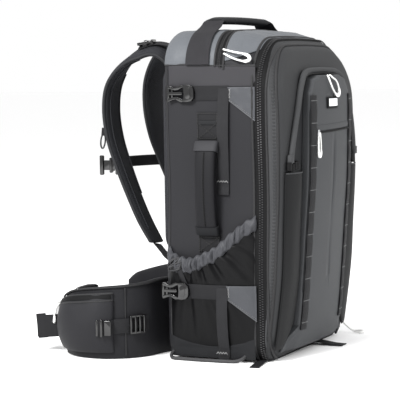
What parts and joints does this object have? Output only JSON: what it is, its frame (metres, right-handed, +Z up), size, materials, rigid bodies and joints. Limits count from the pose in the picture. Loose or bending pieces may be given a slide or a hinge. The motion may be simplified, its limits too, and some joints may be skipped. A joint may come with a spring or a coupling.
{
  "type": "camera backpack",
  "caption": "Upright padded camera backpack: zipped front lid with a grey centre panel, side pockets, compression straps, shoulder straps and a hip belt.",
  "frame": {"origin": "centre of the base's resting face, where the main body's outline meets the floor", "axes": "+Z up, -Y the front with the zipped lid, +Y the wearer's side with the straps"},
  "size_m": [0.4607, 0.5795, 0.5861],
  "materials": {
    "cloth": "matte coated nylon",
    "dark_cloth": "matte stretch nylon",
    "light_cloth": "matte nylon",
    "panel_cloth": "matte coated nylon",
    "mesh": "padded spacer mesh",
    "webbing": "woven webbing",
    "zip": "coil zip on coated tape",
    "plastic": "moulded, slight gloss",
    "cord": "braided cord",
    "plate": "satin metal plate"
  },
  "bodies": {
    "root": {"main_body": "cloth", "front_lid": "cloth", "centre_panel": "panel_cloth", "arch_gusset": "dark_cloth", "arch_zip": "zip", "badge_plate": "plate", "main_zip": "zip", "top_zip": "zip", "top_wedge": "light_cloth", "top_panel": "light_cloth", "daisy_webbing_left": "webbing", "front_pocket_left": "dark_cloth", "side_pocket_left": "dark_cloth", "pocket_hem_left": "light_cloth", "upper_buckle_left": "plastic", "upper_strap_left": "webbing", "upper_wing_left": "light_cloth", "lower_buckle_left": "plastic", "lower_strap_left": "webbing", "lower_wing_left": "light_cloth", "haul_webbing_left": "webbing", "shoulder_strap_left": "mesh", "load_lifter_left": "webbing", "lower_webbing_left": "webbing", "hip_wing_left": "dark_cloth", "hip_webbing_left": "webbing", "hip_buckle_left": "plastic", "daisy_webbing_right": "webbing", "front_pocket_right": "dark_cloth", "side_pocket_right": "dark_cloth", "pocket_hem_right": "light_cloth", "upper_buckle_right": "plastic", "upper_strap_right": "webbing", "upper_wing_right": "light_cloth", "lower_buckle_right": "plastic", "lower_strap_right": "webbing", "lower_wing_right": "light_cloth", "haul_webbing_right": "webbing", "shoulder_strap_right": "mesh", "load_lifter_right": "webbing", "lower_webbing_right": "webbing", "hip_wing_right": "dark_cloth", "hip_webbing_right": "webbing", "hip_buckle_right": "plastic", "haul_grip": "dark_cloth", "side_grip": "cloth", "side_grip_patch_top": "webbing", "side_grip_patch_bottom": "webbing", "back_pad": "mesh", "lumbar_pad": "mesh", "sternum_webbing": "webbing", "sternum_buckle": "plastic", "hip_pocket": "cloth", "base_loop": "webbing", "side_cord": "webbing", "top_pull": "cord", "centre_pull": "cord", "slit_pull": "cord", "right_pull": "cord", "hip_pull": "cord"}
  },
  "joints": []
}
